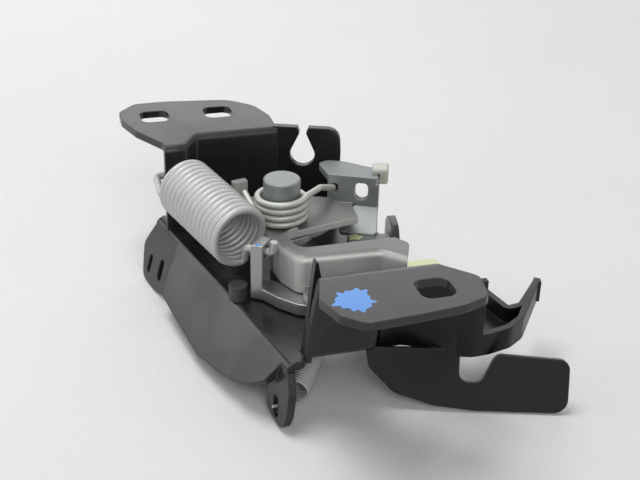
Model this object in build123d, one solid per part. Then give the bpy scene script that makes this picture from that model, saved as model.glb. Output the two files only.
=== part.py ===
from build123d import *
import math
import os

# Bonnet latch: a pressed base plate with two bolt flanges, a sprung claw under a drawn guide
# cover, a cable-pulled release lever on the main pin, and a safety catch with a finger paddle.
#
# Frame: the origin is the centre of the closed striker on the mounting plane. +X is the way the
# striker leaves, +Y runs towards the two-bolt flange, and +Z is the outward side of the flanges.

# Driving dimensions, in millimetres
BASE_SHEET = 2.4
COVER_SHEET = 2.2
LEVER_SHEET = 2.2
CATCH_SHEET = 2.0
CLAW_PLATE = 3.6

FLOOR_TOP = -29.5
COVER_TOP = -13.0
BEND_RADIUS = 2.6

STRIKER_RADIUS = 4.0
STRIKER_PLAY = 1.1
SLOT_HALF_WIDTH = 6.5
SLOT_END = -6.0

RUNNING_PLAY = 0.08
SIDE_PLAY = 0.25

MAIN_PIN = (-4.5, 15.5)
MAIN_PIN_RADIUS = 5.75
MAIN_SHANK_RADIUS = 4.5
CLAW_PIN = (10.0, -22.0)
CLAW_PIN_RADIUS = 5.0
PIN_HEAD = 2.4
PIN_HEAD_EXTRA = 2.6

FAR_WALL_Y = 54.0
FAR_TAB_WALL_Y = 46.0
NEAR_WALL_FOOT_Y = -38.2
NEAR_WALL_TOP_Y = -45.5
NEAR_WALL_RIGHT = 8.8
FLANGE_HOLE = 9.6
FLANGE_HOLE_CORNER = 2.8
FAR_HOLES = [(-34.4, 73.3), (-12.6, 72.8)]
NEAR_HOLE = (17.2, -58.3)

PANEL_LEAN = 38.0
FAR_TAB_LEAN = 20.0
NEAR_TAB_LEAN = 8.0
PADDLE_LEAN = 20.0

KEYHOLE_RADIUS = 4.2
KEYHOLE_NECK = 2.2
KEYHOLE_ALONG = 9.6
KEYHOLE_Z = -9.4
KEYHOLE_LIP = -1.6

CLAW_SPRING_RADIUS = 8.6
CLAW_SPRING_WIRE = 2.3
CLAW_SPRING_COILS = 15
LEVER_SPRING_RADIUS = 7.6
LEVER_SPRING_WIRE = 2.0
LEVER_SPRING_PITCH = 2.25
LEVER_SPRING_TURNS = 3.41
LEVER_SPRING_START = 173.0
CATCH_SPRING_RADIUS = 4.0
CATCH_SPRING_WIRE = 0.8
CATCH_SPRING_COILS = 18.5

FLANGE_BROW = 2.3
LIP_TOP = -19.5
COVER_RIDGE = 2.4
DECK_DROP = 1.2
COVER_SLOT_NEAR = -6.2
FOOT_UNDER = -24.9
LUG_TOP = -7.0
MAIN_SHOULDER_RADIUS = 6.2
HUB_RADIUS = 8.2
CLAW_WASHER_RIM = 2.52
LEVER_WASHER_RIM = 1.77
CATCH_WASHER_RIM = 3.52
LEVER_WASHER = 0.6
CLAW_SHANK_RADIUS = 4.0
LOW_HEAD = 1.6
RIVET_RADIUS = 2.0
RIVET_HEAD = 0.9
FOOT_RIVET_GAP = 3.36
FOOT_MARGIN = 2.5
FOOT_RIVET_BEARING = -120.1
RIVET_SPACER = 0.7
BUFFER = (-22.6, -3.0)
BUFFER_HEAD = 2.8
BUFFER_STEM = 1.8
BUFFER_FOOT = -34.0
BUFFER_TOP = -24.6

CLAW_LIFT = 0.6
JAW_PAD_TOP = -22.0
CLAW_SWING = 50.0
ARM_REACH = 33.9
ARM_ANGLE = 143.4
TAB_WIDTH = 7.0
TAB_TOP = -11.0
TAB_EYE = 2.0
SPRING_Z = -14.0
HOOK_Z = -12.0
FAR_HOOK_HOLE = (-31.2, 2.3)

LEVER_HUB = 10.2
LIP_UNDER = -9.2
TONGUE_BEND = -19.2
TONGUE_LEAN = 57.0
CABLE_EYE_Z = -12.0
CABLE_EYE_ALONG = 11.1
CABLE_EYE_LONG = 6.4
CABLE_EYE_WIDE = 4.3
LEG_HOLE_Z = -11.6
LEG_HOLE_RADIUS = 1.6
UPRIGHT_START = (14.6, 29.6)
UPRIGHT_END = (29.7, 22.4)
NOSE_TOP = -23.2
CAP_CENTRE = (32.2, 28.6)
CAP_TURN = -20.0
CAP_SIZE = (5.4, 6.4, 5.4)

CATCH_GAP = 0.5
CATCH_WALL_TOP = -9.6
CATCH_WALL_END = 39.8
RIM_HEIGHT = 7.0
CATCH_EYE = (-2.0, -16.0)
CATCH_EYE_RADIUS = 1.4
CATCH_ANCHOR = (96.6, 12.9)
SPRING_BODY_START = (-31.0, 36.8, -9.8)
SPRING_END_FROM_TAB = (-3.08, 5.19)
SPRING_END_Z = -12.4

FLOOR_BOTTOM = FLOOR_TOP - BASE_SHEET
COVER_UNDER = COVER_TOP - COVER_SHEET
CLAW_BOTTOM = FLOOR_TOP + CLAW_LIFT
CLAW_TOP = CLAW_BOTTOM + CLAW_PLATE
DECK_TOP = COVER_TOP - DECK_DROP
DECK_UNDER = DECK_TOP - COVER_SHEET
LEVER_TOP = DECK_UNDER - SIDE_PLAY
LEVER_BOTTOM = LEVER_TOP - LEVER_SHEET
CATCH_TOP = FLOOR_BOTTOM - CATCH_GAP
CATCH_BOTTOM = CATCH_TOP - CATCH_SHEET

# The cover's two rivets; the foot's one stands clear of the claw's hub
FOOT_RIVET_REACH = HUB_RADIUS + FOOT_RIVET_GAP
FOOT_RIVET = (
    CLAW_PIN[0] + FOOT_RIVET_REACH * math.cos(math.radians(FOOT_RIVET_BEARING)),
    CLAW_PIN[1] + FOOT_RIVET_REACH * math.sin(math.radians(FOOT_RIVET_BEARING)),
)
COVER_RIVETS = [(-12.6, 26.0), FOOT_RIVET]

# The bend line of the left skirt, on the underside of the floor
SKIRT_START = (-35.7, 56.4, FLOOR_BOTTOM)
SKIRT_ALONG = (20.5, -98.0)


def face_of(corners):
    """A flat face from (x, y, corner radius) triples."""
    points = [(x, y) for x, y, _ in corners]
    radii = [radius for _, _, radius in corners]
    return make_face(FilletPolyline(*points, radius=radii, close=True))


def slab(corners, bottom, top):
    """A flat plate between two heights, with the given plan outline."""
    return Pos(0, 0, bottom) * extrude(face_of(corners), top - bottom, dir=(0, 0, 1))


def drum(centre, radius, bottom, top):
    """An upright cylinder between two heights."""
    height = top - bottom
    return Pos(centre[0], centre[1], bottom + height / 2) * Cylinder(radius, height)


def ring(centre, outer, inner, bottom, top):
    """An upright sleeve or washer between two heights."""
    return drum(centre, outer, bottom, top) - drum(centre, inner, bottom, top)


def square_hole(centre, bottom, top):
    """The cutter of a bolt hole: a square with rounded corners."""
    half = FLANGE_HOLE / 2
    x, y = centre
    corners = [
        (x - half, y - half, FLANGE_HOLE_CORNER),
        (x + half, y - half, FLANGE_HOLE_CORNER),
        (x + half, y + half, FLANGE_HOLE_CORNER),
        (x - half, y + half, FLANGE_HOLE_CORNER),
    ]
    return slab(corners, bottom, top)


def wall(start, end, thickness, bottom, top):
    """An upright plate from start to end in plan, thickness to its left."""
    dx, dy = end[0] - start[0], end[1] - start[1]
    length = math.hypot(dx, dy)
    nx, ny = -dy / length * thickness, dx / length * thickness
    corners = [
        (start[0], start[1], 0),
        (end[0], end[1], 0),
        (end[0] + nx, end[1] + ny, 0),
        (start[0] + nx, start[1] + ny, 0),
    ]
    return slab(corners, bottom, top)


def shifted_path(path, distance):
    """The path moved to its left by a distance, with mitred corners."""
    directions = []
    for (x0, y0), (x1, y1) in zip(path, path[1:]):
        length = math.hypot(x1 - x0, y1 - y0)
        directions.append(((x1 - x0) / length, (y1 - y0) / length))
    moved = []
    for index, (x, y) in enumerate(path):
        before = directions[max(index - 1, 0)]
        after = directions[min(index, len(path) - 2)]
        mean = (-before[1] - after[1], before[0] + after[0])
        scale = 2 * distance / (mean[0] ** 2 + mean[1] ** 2)
        moved.append((x + mean[0] * scale, y + mean[1] * scale))
    return moved


def bent_section(path, thickness, side, bend):
    """The section of a bent sheet: path is one face, the sheet lies to its left (side 1) or right."""
    near_face = []
    far_face = []
    last = len(path) - 1
    for index, (near, far) in enumerate(zip(path, shifted_path(path, thickness * side))):
        if index in (0, last):
            inside, outside = 0, 0
            turn = 0
        else:
            before, after = path[index - 1], path[index + 1]
            inside, outside = bend, bend + thickness
            arriving = (near[0] - before[0], near[1] - before[1])
            leaving = (after[0] - near[0], after[1] - near[1])
            turn = side * (arriving[0] * leaving[1] - arriving[1] * leaving[0])
        near_face.append((*near, outside if turn > 0 else inside))
        far_face.append((*far, inside if turn > 0 else outside))
    return near_face + far_face[::-1]


def bent_strip(path, thickness, side, bend, x_from, x_to):
    """A bent sheet whose section lies in Y and Z, between two X positions."""
    section = face_of(bent_section(path, thickness, side, bend))
    return Plane(origin=(x_from, 0, 0), x_dir=(0, 1, 0), z_dir=(1, 0, 0)) * extrude(
        section, x_to - x_from, dir=(0, 0, 1)
    )


class Hanging:
    """A plate that hangs from a bend line and leans outwards as it goes down."""

    def __init__(self, start, along, lean):
        length = math.hypot(*along)
        self.along = (along[0] / length, along[1] / length, 0)
        outward = (self.along[1], -self.along[0], 0)
        lean = math.radians(lean)
        self.normal = (
            outward[0] * math.cos(lean),
            outward[1] * math.cos(lean),
            math.sin(lean),
        )
        self.plane = Plane(origin=start, x_dir=self.along, z_dir=self.normal)
        self.start = start

    def plate(self, corners, thickness):
        """The plate itself: corners are (along, down, corner radius)."""
        flipped = [(along, -down, radius) for along, down, radius in corners]
        return self.plane * extrude(face_of(flipped), thickness, dir=(0, 0, 1))

    def bend(self, first, last, thickness):
        """The rounded outside of the bend, between two places along the line."""
        rod = Cylinder(thickness, last - first, rotation=(0, 90, 0))
        rod = self.plane * (Pos((first + last) / 2, 0, 0) * rod)
        keep = Pos(0, 0, self.start[2] + 50) * Box(400, 400, 100)
        return rod & keep

    def hole(self, along, down, width, height, thickness, turn=0):
        """The cutter of an oblong hole in the plate."""
        shape = SlotOverall(height, width, rotation=90 + turn) if height > width else Circle(width / 2)
        cutter = extrude(shape, thickness * 3, dir=(0, 0, 1))
        return self.plane * (Pos(along, -down, -thickness) * cutter)


def coil(plane, radius, wire, pitch, turns, start_angle):
    """A right-hand coil of round wire; each end is its point and a point one step further on."""
    path = Helix(pitch=pitch, height=pitch * turns, radius=radius)
    section = Plane(origin=path @ 0, z_dir=path % 0) * Circle(wire / 2)
    body = plane * Rot(0, 0, start_angle) * sweep(section, path=path, is_frenet=True)
    ends = []
    rise = pitch / (2 * math.pi * radius)
    for angle, height, way in ((start_angle, 0, -1), (start_angle + 360 * turns, pitch * turns, 1)):
        turn = math.radians(angle)
        end = Vector(radius * math.cos(turn), radius * math.sin(turn), height)
        onward = Vector(-math.sin(turn), math.cos(turn), rise) * way
        ends.append((plane.from_local_coords(end), plane.from_local_coords(end + onward * wire)))
    return body, ends[0], ends[1]


def bent_wire(points, bend, diameter):
    """A round wire through the points, with rounded corners."""
    path = FilletPolyline(*[Vector(*point) for point in points], radius=bend)
    section = Plane(origin=path @ 0, z_dir=path % 0) * Circle(diameter / 2)
    return sweep(section, path=path)


def far_wall_path():
    """Inner face of the far wall in plan, from its left edge round the shallow pocket."""
    return [
        (-35.6, FAR_TAB_WALL_Y),
        (-28.6, FAR_TAB_WALL_Y),
        (-23.6, FAR_WALL_Y),
        (4.0, FAR_WALL_Y),
    ]


def far_flange_outline():
    """Plan of the two-bolt flange; its front edge lies inside the wall below."""
    middle = BASE_SHEET / 2
    return [
        (-35.6, FAR_TAB_WALL_Y + middle, 0),
        (-35.6, 50.0, 3),
        (-42.5, 62.0, 6),
        (-45.8, 72.5, 4),
        (-45.8, 79.5, 5),
        (-39.5, 86.1, 4),
        (-29.0, 86.3, 6),
        (-7.0, 83.4, 10),
        (1.0, 76.0, 9),
        (4.0, 66.0, 4),
        (4.0, FAR_WALL_Y + middle, 0),
        (-24.2, FAR_WALL_Y + middle, 0),
        (-29.2, FAR_TAB_WALL_Y + middle, 0),
    ]


def near_flange_outline():
    """Plan of the one-bolt flange that overhangs the near wall."""
    return [
        (-9.8, NEAR_WALL_TOP_Y + 4.5, 0),
        (-9.8, -44.0, 1),
        (-13.6, -56.5, 3),
        (-10.8, -65.4, 3),
        (-5.0, -70.6, 4),
        (9.5, -69.6, 12),
        (21.5, -68.2, 10),
        (29.6, -65.2, 3.5),
        (31.0, -55.0, 4),
        (22.5, -46.3, 5),
        (22.5, NEAR_WALL_TOP_Y + 4.5, 0),
    ]


def far_side():
    """The far wall with its shallow pocket, rounded over into the flange above it."""
    strip = face_of(bent_section(far_wall_path(), BASE_SHEET, 1, BEND_RADIUS))
    upright = Pos(0, 0, FLOOR_BOTTOM) * extrude(strip, -FLOOR_BOTTOM, dir=(0, 0, 1))
    body = upright + slab(far_flange_outline(), -BASE_SHEET, 0)
    brow = [
        edge for edge in body.edges()
        if abs(edge.center().Z) < 0.01 and edge.center().Y < FAR_WALL_Y + 0.5
        and edge.center().X > -35.0 and edge.center().X < 3.9
    ]
    body = fillet(brow, FLANGE_BROW)
    hook_hole = Rot(90, 0, 0) * Cylinder(FAR_HOOK_HOLE[1], 20)
    return body - Pos(FAR_HOOK_HOLE[0], FAR_TAB_WALL_Y, SPRING_Z) * hook_hole


def near_side():
    """The near wall, which leans out to the overhanging flange, and the ear on its left edge."""
    path = [
        (NEAR_WALL_FOOT_Y + 6, FLOOR_BOTTOM),
        (NEAR_WALL_FOOT_Y, FLOOR_BOTTOM),
        (NEAR_WALL_TOP_Y, -BASE_SHEET),
        (-80, -BASE_SHEET),
    ]
    strip = bent_strip(path, BASE_SHEET, -1, BEND_RADIUS, -14.0, 32.0)
    front = Plane(origin=(0, 0, 0), x_dir=(1, 0, 0), z_dir=(0, -1, 0))
    wall_shape = [
        (-12.4, FLOOR_BOTTOM, 0),
        (NEAR_WALL_RIGHT, FLOOR_BOTTOM, 0),
        (NEAR_WALL_RIGHT, 0, 0),
        (-9.9, 0, 0),
    ]
    wall_mask = front * (Pos(0, 0, 20) * extrude(face_of(wall_shape), 28, dir=(0, 0, 1)))
    flange_mask = slab(near_flange_outline(), -BEND_RADIUS - BASE_SHEET, 1)
    ear_shape = [
        (-12.4, FLOOR_BOTTOM, 0),
        (-9.6, FLOOR_BOTTOM, 0),
        (-7.2, -6.0, 0),
        (-8.4, 0, 0.4),
        (-9.2, 0, 0.4),
    ]
    ear = extrude(face_of(ear_shape), BASE_SHEET, dir=(0, 0, 1))
    ear = front * (Pos(0, 0, -NEAR_WALL_FOOT_Y - BASE_SHEET) * ear)
    return (strip & (wall_mask + flange_mask)) + ear


def floor_plate():
    """The base floor with its striker slot and the upturned lip at the far side of its mouth."""
    middle = BASE_SHEET / 2
    corners = [
        (-35.6, FAR_TAB_WALL_Y + middle, 0),
        (-16.6, NEAR_WALL_FOOT_Y + 3, 0),
        (-12.4, NEAR_WALL_FOOT_Y + 4, 0),
        (NEAR_WALL_RIGHT, NEAR_WALL_FOOT_Y + 4, 0),
        (NEAR_WALL_RIGHT, CLAW_PIN[1] - HUB_RADIUS, 0),
        (13.0, CLAW_PIN[1] - 7.0, 3),
        (17.0, -24.6, 3),
        (31.0, -25.0, 4),
        (34.0, -12.0, 4),
        (30.0, -SLOT_HALF_WIDTH, 2),
        (SLOT_END, -SLOT_HALF_WIDTH, SLOT_HALF_WIDTH * 0.98),
        (SLOT_END, SLOT_HALF_WIDTH, SLOT_HALF_WIDTH * 0.98),
        (30.0, SLOT_HALF_WIDTH, 0),
        (33.4, 24.5, 0),
        (24.0, 47.0, 4),
        (4.0, FAR_WALL_Y + middle, 0),
        (-24.2, FAR_WALL_Y + middle, 0),
        (-29.2, FAR_TAB_WALL_Y + middle, 0),
    ]
    lip_wall = wall((33.4, 24.5), (30.0, SLOT_HALF_WIDTH), BASE_SHEET, FLOOR_BOTTOM, LIP_TOP)
    side = Plane(origin=(0, 0, 0), x_dir=(0, 1, 0), z_dir=(1, 0, 0))
    profile = [(4, -40, 0), (27, -40, 0), (27, -26, 6), (21, LIP_TOP, 5), (12, LIP_TOP, 5), (4, -29, 4)]
    lip_shape = side * (Pos(0, 0, 20) * extrude(face_of(profile), 25, dir=(0, 0, 1)))
    return slab(corners, FLOOR_BOTTOM, FLOOR_TOP) + (lip_wall & lip_shape)


def cable_tab():
    """The upright tab with the open keyhole that takes the cable's end fitting."""
    start, end = (4.0, FAR_WALL_Y + BASE_SHEET + 1.0), (23.6, 50.0)
    length = math.hypot(end[0] - start[0], end[1] - start[1])
    plane = Plane(
        origin=(*start, 0),
        x_dir=(end[0] - start[0], end[1] - start[1], 0),
        z_dir=(end[1] - start[1], start[0] - end[0], 0),
    )
    corners = [
        (-0.8, 0.4, 0.5),
        (length + 1.0, 0.4, 4.5),
        (length + 1.6, -8.0, 3),
        (length + 1.2, FLOOR_BOTTOM, 0),
        (-0.8, FLOOR_BOTTOM, 0),
    ]
    throat = [
        (KEYHOLE_ALONG - KEYHOLE_RADIUS * 0.94, KEYHOLE_Z + KEYHOLE_RADIUS * 0.34, 0),
        (KEYHOLE_ALONG - KEYHOLE_NECK / 2, KEYHOLE_LIP, 0.8),
        (KEYHOLE_ALONG - KEYHOLE_NECK / 2 - 1.2, 1.5, 0),
        (KEYHOLE_ALONG + KEYHOLE_NECK / 2 + 1.2, 1.5, 0),
        (KEYHOLE_ALONG + KEYHOLE_NECK / 2, KEYHOLE_LIP, 0.8),
        (KEYHOLE_ALONG + KEYHOLE_RADIUS * 0.94, KEYHOLE_Z + KEYHOLE_RADIUS * 0.34, 0),
    ]
    plate = extrude(face_of(corners), BASE_SHEET, dir=(0, 0, 1))
    hole = Pos(KEYHOLE_ALONG, KEYHOLE_Z, 0) * Cylinder(KEYHOLE_RADIUS, 20)
    neck = Pos(0, 0, -10) * extrude(face_of(throat), 20, dir=(0, 0, 1))
    return plane * (plate - hole - neck)


def left_skirt():
    """The flared panel on the left, with the spring tabs before and behind it."""
    panel = Hanging(SKIRT_START, SKIRT_ALONG, PANEL_LEAN)
    far_tab = Hanging(SKIRT_START, SKIRT_ALONG, FAR_TAB_LEAN)
    near_tab = Hanging(SKIRT_START, SKIRT_ALONG, NEAR_TAB_LEAN)
    panel_plate = panel.plate(
        [
            (19.0, 0, 0),
            (96.0, 0, 0),
            (94.0, 8.0, 3),
            (88.0, 13.0, 5),
            (76.5, 16.6, 12),
            (62.0, 18.8, 14),
            (40.0, 17.0, 10),
            (28.0, 15.6, 4),
        ],
        BASE_SHEET,
    )
    far_plate = far_tab.plate(
        [
            (1.0, 0, 0),
            (26.0, 0, 0),
            (25.0, 10.0, 3),
            (20.0, 17.4, 3),
            (13.0, 19.4, 5),
            (2.5, 19.3, 5),
            (-3.6, 9.4, 4),
        ],
        BASE_SHEET,
    )
    far_plate -= far_tab.hole(5.0, 13.6, 2.6, 6.5, BASE_SHEET, 8)
    far_plate -= far_tab.hole(13.6, 12.0, 3.2, 7.5, BASE_SHEET, 8)
    near_plate = near_tab.plate(
        [
            (92.0, 0, 0),
            (100.0, 0, 1),
            (102.8, 6.0, 3),
            (103.2, 13.0, 3),
            (101.5, 17.6, 2),
            (95.4, 16.9, 3),
            (91.6, 15.4, 3),
            (90.2, 11.0, 2),
        ],
        BASE_SHEET,
    )
    near_plate -= near_tab.hole(CATCH_ANCHOR[0], CATCH_ANCHOR[1], 3.0, 6.5, BASE_SHEET, 14)
    bends = panel.bend(0.6, 99.5, BASE_SHEET)
    reach = math.hypot(*SKIRT_ALONG)
    end = (SKIRT_START[0] + 99 * SKIRT_ALONG[0] / reach, SKIRT_START[1] + 99 * SKIRT_ALONG[1] / reach)
    floor_edge = slab(
        [
            (SKIRT_START[0], SKIRT_START[1], 0),
            (SKIRT_START[0] + 10, SKIRT_START[1], 0),
            (-9.0, NEAR_WALL_FOOT_Y + 3, 0),
            (end[0] + 3, end[1], 1),
            (end[0], end[1], 0),
        ],
        FLOOR_BOTTOM,
        FLOOR_TOP,
    )
    return panel_plate + far_plate + near_plate + bends + floor_edge


def base_plate():
    body = floor_plate() + far_side() + near_side() + left_skirt() + cable_tab()
    for centre in FAR_HOLES:
        body -= square_hole(centre, -8, 4)
    body -= square_hole(NEAR_HOLE, -8, 4)
    body -= drum(MAIN_PIN, MAIN_SHANK_RADIUS, -45, -20)
    body -= drum(CLAW_PIN, CLAW_SHANK_RADIUS, -45, -20)
    for centre in COVER_RIVETS:
        body -= drum(centre, RIVET_RADIUS, -45, -20) + countersink(centre)
        body -= drum(centre, RIVET_RADIUS + RIVET_SPACER + RUNNING_PLAY, FLOOR_TOP, FLOOR_TOP + 1)
    body -= drum(BUFFER, BUFFER_STEM, -45, -20)
    return body


def guide_cover():
    """The drawn cover over the claw: a raised deck with the striker slot, a wall and a low foot."""
    ridge = slab(
        [
            (-10.4, 2.2, 0),
            (-10.0, -4.0, 4),
            (-6.4, -12.4, 4),
            (18.5, -13.4, 4),
            (24.6, -19.4, 0),
            (28.4, -10.6, 3),
            (24.4, -5.0, 1.5),
            (19.0, 0, 0),
            (-5.0, 8.0, 0),
        ],
        FOOT_UNDER,
        COVER_TOP,
    )
    brow = [
        edge for edge in ridge.edges()
        if abs(edge.center().Z - COVER_TOP) < 0.01 and edge.center().X < 24.4
        and (edge.center().X < -7.5 or edge.center().Y < -7.0)
    ]
    ridge = fillet(brow, COVER_RIDGE)
    cavity = slab(
        [
            (-40.0, 2.4, 0),
            (-8.2, 2.2, 0),
            (-7.8, -4.4, 2),
            (-5.0, -10.2, 2),
            (19.2, -11.2, 2),
            (26.0, -17.8, 0),
            (60.0, -17.8, 0),
            (60.0, 60.0, 0),
            (-40.0, 60.0, 0),
        ],
        FOOT_UNDER - 1,
        COVER_UNDER,
    )
    deck = slab(
        [
            (-10.4, 4.0, 1),
            (-10.0, 1.0, 0),
            (18.5, 1.0, 0),
            (20.0, 20.0, 4),
            (13.0, 28.0, 5),
            (-10.0, 33.4, 3),
            (-17.6, 31.0, 3),
            (-17.0, 27.0, 4),
            (-13.8, 15.0, 6),
        ],
        DECK_UNDER,
        DECK_TOP,
    )
    slot = slab(
        [
            (-5.8, COVER_SLOT_NEAR, 4.4),
            (40.0, COVER_SLOT_NEAR, 0),
            (40.0, 16.0, 0),
            (18.5, 11.4, 0),
            (-5.8, 5.8, 4.4),
        ],
        FOOT_UNDER - 1,
        COVER_TOP + 1,
    )
    foot = slab(
        [
            (-4.5, -12.0, 0),
            (-6.0, -16.0, 2),
            (-3.4, FOOT_RIVET[1] - FOOT_MARGIN, 3),
            (8.0, FOOT_RIVET[1] - FOOT_MARGIN, 3),
            (8.4, CLAW_PIN[1] - HUB_RADIUS, 0.5),
            (12.4, CLAW_PIN[1] - HUB_RADIUS, 3),
            (17.6, -25.0, 3),
            (26.0, -24.4, 3),
            (24.0, -18.0, 0),
            (18.4, -12.4, 0),
        ],
        FOOT_UNDER,
        FOOT_UNDER + COVER_SHEET,
    )
    lug = wall((-16.4, 29.6), (-11.8, 30.6), COVER_SHEET, DECK_UNDER, LUG_TOP)
    body = ridge - cavity + deck - slot + foot + lug
    body -= drum(MAIN_PIN, MAIN_PIN_RADIUS, -30, 0)
    body -= drum(CLAW_PIN, CLAW_SHANK_RADIUS, -30, 0)
    for centre in COVER_RIVETS:
        body -= drum(centre, RIVET_RADIUS, -30, 0)
    return body


def main_pin():
    """The stepped rivet that the release lever turns on; the lever runs on its shoulder."""
    shoulder_top = LEVER_BOTTOM - LEVER_WASHER - RUNNING_PLAY
    shoulder = drum(MAIN_PIN, MAIN_SHOULDER_RADIUS, FLOOR_TOP, shoulder_top)
    barrel = drum(MAIN_PIN, MAIN_PIN_RADIUS, shoulder_top, 0)
    barrel = chamfer(barrel.edges().sort_by(Axis.Z)[-1], 0.4)
    shank = drum(MAIN_PIN, MAIN_SHANK_RADIUS, FLOOR_BOTTOM, FLOOR_TOP)
    head = drum(MAIN_PIN, MAIN_SHANK_RADIUS + PIN_HEAD_EXTRA, FLOOR_BOTTOM - LOW_HEAD, FLOOR_BOTTOM)
    return shoulder + barrel + shank + head


def claw_pin():
    """The stepped rivet through foot, claw, floor and safety catch."""
    foot_top = FOOT_UNDER + COVER_SHEET
    low_face = CATCH_BOTTOM - SIDE_PLAY
    barrel = drum(CLAW_PIN, CLAW_PIN_RADIUS, FLOOR_TOP, FOOT_UNDER)
    shank = drum(CLAW_PIN, CLAW_SHANK_RADIUS, low_face, foot_top)
    top_head = drum(CLAW_PIN, CLAW_SHANK_RADIUS + PIN_HEAD_EXTRA, foot_top, foot_top + PIN_HEAD)
    low_head = drum(CLAW_PIN, CLAW_SHANK_RADIUS + PIN_HEAD_EXTRA, low_face - PIN_HEAD, low_face)
    top_head = fillet(top_head.edges().sort_by(Axis.Z)[-1], 1.0)
    low_head = fillet(low_head.edges().sort_by(Axis.Z)[0], 1.0)
    return barrel + shank + top_head + low_head


def countersink(centre):
    """The flush head of a cover rivet in the underside of the floor."""
    depth = BASE_SHEET / 2
    cone = Cone(RIVET_RADIUS + 1.2, RIVET_RADIUS, depth)
    return Pos(centre[0], centre[1], FLOOR_BOTTOM + depth / 2) * cone


def cover_rivet(centre, seat, deck_top):
    """A spacer rivet that holds the cover at its height above the floor."""
    spacer = drum(centre, RIVET_RADIUS + RIVET_SPACER, FLOOR_TOP, seat)
    shank = drum(centre, RIVET_RADIUS, FLOOR_BOTTOM, deck_top)
    head = drum(centre, RIVET_RADIUS + 1.0, deck_top, deck_top + RIVET_HEAD)
    head = fillet(head.edges().sort_by(Axis.Z)[-1], RIVET_HEAD * 0.6)
    return spacer + shank + head + countersink(centre)


def stop_buffer():
    """The rubber plug in the floor that the claw's spring arm comes to rest against."""
    head = drum(BUFFER, BUFFER_HEAD, FLOOR_TOP, BUFFER_TOP)
    return head + drum(BUFFER, BUFFER_STEM, BUFFER_FOOT, FLOOR_TOP)


def from_claw_pin(radius, angle):
    """A plan point at a distance and bearing from the claw's pivot."""
    return (
        CLAW_PIN[0] + radius * math.cos(math.radians(angle)),
        CLAW_PIN[1] + radius * math.sin(math.radians(angle)),
    )


def striker_when_open():
    """Where the closed striker's centre comes to when the claw swings open."""
    radius = math.hypot(*CLAW_PIN)
    angle = math.degrees(math.atan2(-CLAW_PIN[1], -CLAW_PIN[0]))
    return from_claw_pin(radius, angle - CLAW_SWING)


def claw():
    """The claw, drawn open: a short inner finger, the throat, the long jaw, and the spring arm."""
    throat = striker_when_open()
    throat_radius = STRIKER_RADIUS + STRIKER_PLAY
    jaw_top = throat[1] - throat_radius
    body = slab(
        [
            (5.0, CLAW_PIN[1] - HUB_RADIUS, 6),
            (13.6, CLAW_PIN[1] - HUB_RADIUS, 4),
            (18.4, -24.4, 3),
            (30.0, -23.4, 6),
            (40.6, -12.8, 3),
            (39.5, jaw_top - 0.6, 2.5),
            (35.5, jaw_top, 2),
            (throat[0], jaw_top, 0),
            (throat[0], throat[1], 0),
            (16.8, 3.6, 0),
            (17.4, 9.2, 1.5),
            (16.0, 10.9, 1.5),
            (11.6, 11.0, 2),
            (8.2, 0.0, 6),
            (2.4, -12.5, 5),
            (1.6, -22.0, 4),
        ],
        CLAW_BOTTOM,
        CLAW_TOP,
    )
    body -= drum(throat, throat_radius, CLAW_BOTTOM - 1, CLAW_TOP + 1)
    outer, inner = ARM_REACH, ARM_REACH - CLAW_PLATE
    spread = math.degrees(TAB_WIDTH / 2 / outer)
    tab = [
        (*from_claw_pin(outer, ARM_ANGLE - spread), 0),
        (*from_claw_pin(outer, ARM_ANGLE + spread), 0),
        (*from_claw_pin(inner, ARM_ANGLE + spread), 0),
        (*from_claw_pin(inner, ARM_ANGLE - spread), 0),
    ]
    arm = slab(
        [
            *tab[:3],
            (-12.6, -12.5, 4),
            (-8.0, -17.6, 4),
            (-3.0, -20.0, 4),
            (5.0, -22.0, 0),
            (6.0, -14.0, 0),
            (-1.5, -12.0, 4),
            (-6.5, -9.0, 3),
            tab[3],
        ],
        CLAW_BOTTOM,
        CLAW_TOP,
    )
    eye_centre = from_claw_pin(outer - CLAW_PLATE / 2, ARM_ANGLE)
    radial = Plane(
        origin=(*eye_centre, SPRING_Z),
        z_dir=(math.cos(math.radians(ARM_ANGLE)), math.sin(math.radians(ARM_ANGLE)), 0),
    )
    eye = radial * Cylinder(TAB_EYE, 20)
    body = body + arm + (slab(tab, CLAW_BOTTOM, TAB_TOP) - eye)
    return body - drum(CLAW_PIN, CLAW_PIN_RADIUS + RUNNING_PLAY, CLAW_BOTTOM - 1, CLAW_TOP + 1)


def jaw_pad():
    """The moulded pad on the claw's long jaw, which quiets the striker."""
    throat = striker_when_open()
    jaw_top = throat[1] - STRIKER_RADIUS - STRIKER_PLAY
    corners = [
        (27.6, -18.6, 1),
        (30.2, -22.6, 2),
        (40.3, -12.8, 3),
        (39.3, jaw_top - 0.8, 2.2),
        (35.5, jaw_top - 0.2, 2),
        (28.0, jaw_top - 0.2, 1.5),
    ]
    body = slab(corners, CLAW_TOP, JAW_PAD_TOP)
    return fillet(body.faces().sort_by(Axis.Z)[-1].edges(), 0.7)


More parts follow.
